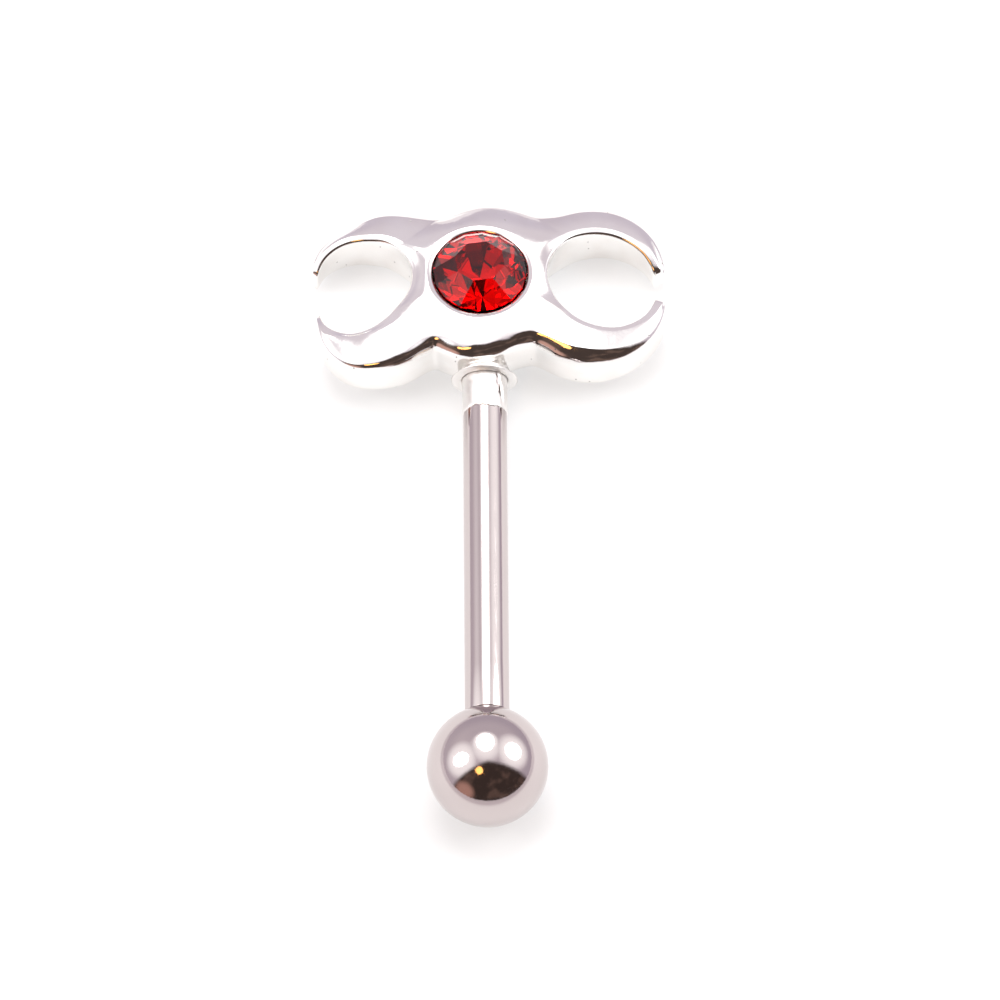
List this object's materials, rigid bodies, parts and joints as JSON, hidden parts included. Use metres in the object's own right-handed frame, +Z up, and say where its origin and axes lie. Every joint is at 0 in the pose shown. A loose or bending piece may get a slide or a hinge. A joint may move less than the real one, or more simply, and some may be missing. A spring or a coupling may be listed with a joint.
{
  "type": "eyebrow barbell",
  "caption": "Straight barbell whose front is a flat charm of a disc between two crescents with a round red stone; a screwed ball closes the far end.",
  "frame": {"origin": "on the surface it lies on, under the middle of its bounding box", "axes": "+X to the right across the charm, +Y along the bar from the ball to the charm, +Z up"},
  "size_m": [0.0098, 0.0184, 0.0032],
  "materials": {
    "silver_plate": "polished",
    "steel": "polished",
    "red_glass": "faceted, foiled behind"
  },
  "bodies": {
    "barbell": {"charm_bar": "silver_plate", "stone": "red_glass"},
    "ball_end": {"ball": "steel"}
  },
  "joints": [
    {"name": "ball_off", "type": "slide", "parent": "barbell", "child": "ball_end", "axis": [0, -0.9987, 0.0506], "range_m": [0, 0.01]}
  ]
}
